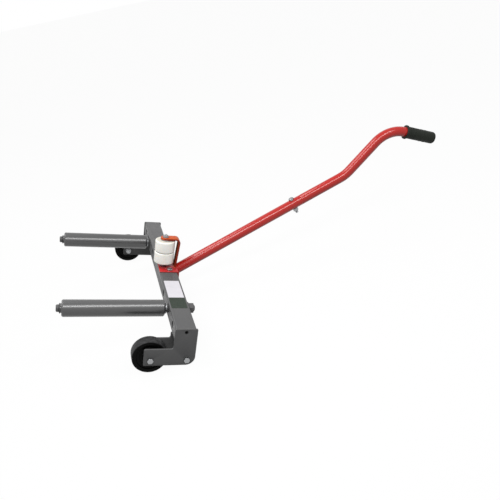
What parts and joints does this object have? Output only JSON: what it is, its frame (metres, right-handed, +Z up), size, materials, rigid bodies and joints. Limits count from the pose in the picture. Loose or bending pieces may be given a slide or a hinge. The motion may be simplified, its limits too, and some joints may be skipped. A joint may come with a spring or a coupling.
{
  "type": "vehicle positioning jack",
  "caption": "Lever-type wheel lift on fork-mounted wheels: crossbar with forward roller arms, upright side rollers on a bracket and a long bent handle with a grip.",
  "frame": {"origin": "on the floor, in the middle of the jack's length and width, with the jack standing on its wheels and heels", "axes": "+X towards the handle's grip, -X towards the roller arms, +Y along the crossbar to the right side, +Z up"},
  "size_m": [1.3714, 0.8628, 0.3881],
  "materials": {
    "grey_paint": "satin grey powder coat",
    "red_paint": "glossy red powder coat",
    "zinc_plate": "bright zinc plate",
    "dark_steel": "phosphated spring steel",
    "bronze": "sintered, oiled",
    "wheel_rubber": "moulded hard rubber, semi-gloss",
    "white_nylon": "turned cast nylon",
    "grip_rubber": "dipped, matt"
  },
  "bodies": {
    "frame": {"crossbar": "grey_paint", "left_end_plate": "grey_paint", "right_end_plate": "grey_paint", "left_inner_plate": "grey_paint", "right_inner_plate": "grey_paint", "left_arm_shaft": "grey_paint", "right_arm_shaft": "grey_paint", "arm_nuts": "grey_paint", "arm_nut_washers": "grey_paint", "heel_spacers": "grey_paint", "bracket_base": "red_paint", "bracket_strap": "red_paint", "lower_handle_tube": "red_paint", "upper_handle_tube": "red_paint", "axle_bolts": "zinc_plate", "axle_nuts": "zinc_plate", "axle_washers": "zinc_plate", "wheel_spacers": "zinc_plate", "heel_bolts": "zinc_plate", "heel_nuts": "zinc_plate", "heel_washers": "zinc_plate", "root_thrust_washers": "zinc_plate", "tip_washers": "zinc_plate", "base_bolts": "zinc_plate", "base_nuts": "zinc_plate", "base_washers": "zinc_plate", "side_roller_stud": "zinc_plate", "side_roller_spacer": "zinc_plate", "side_roller_middle_washer": "zinc_plate", "side_roller_top_washer": "zinc_plate", "stud_nut_washer": "zinc_plate", "stud_nut": "zinc_plate", "handle_joint_bolt": "zinc_plate", "handle_joint_nut": "zinc_plate", "tip_rings": "dark_steel", "grip": "grip_rubber"},
    "left_wheel": {"left_wheel": "wheel_rubber", "left_wheel_bush": "bronze"},
    "right_wheel": {"right_wheel": "wheel_rubber", "right_wheel_bush": "bronze"},
    "left_roller": {"left_roller_tube": "grey_paint", "left_roller_bushes": "grey_paint"},
    "right_roller": {"right_roller_tube": "grey_paint", "right_roller_bushes": "grey_paint"},
    "lower_side_roller": {"lower_side_roller": "white_nylon"},
    "upper_side_roller": {"upper_side_roller": "white_nylon"}
  },
  "joints": [
    {"name": "left_wheel_spin", "type": "hinge", "parent": "frame", "child": "left_wheel", "pos_m": [-0.46322, -0.3915, 0.051], "axis": [0, 1, 0], "continuous": true},
    {"name": "right_wheel_spin", "type": "hinge", "parent": "frame", "child": "right_wheel", "pos_m": [-0.46322, 0.3915, 0.051], "axis": [0, 1, 0], "continuous": true},
    {"name": "left_roller_spin", "type": "hinge", "parent": "frame", "child": "left_roller", "pos_m": [-0.52723, -0.262, 0.15706], "axis": [-0.9457, 0, 0.325], "continuous": true},
    {"name": "right_roller_spin", "type": "hinge", "parent": "frame", "child": "right_roller", "pos_m": [-0.52723, 0.262, 0.15706], "axis": [-0.9457, 0, 0.325], "continuous": true},
    {"name": "lower_side_roller_spin", "type": "hinge", "parent": "frame", "child": "lower_side_roller", "pos_m": [-0.34023, 0, 0.1535], "axis": [0.325, 0, 0.9457], "continuous": true},
    {"name": "upper_side_roller_spin", "type": "hinge", "parent": "frame", "child": "upper_side_roller", "pos_m": [-0.32717, 0, 0.19152], "axis": [0.325, 0, 0.9457], "continuous": true}
  ]
}
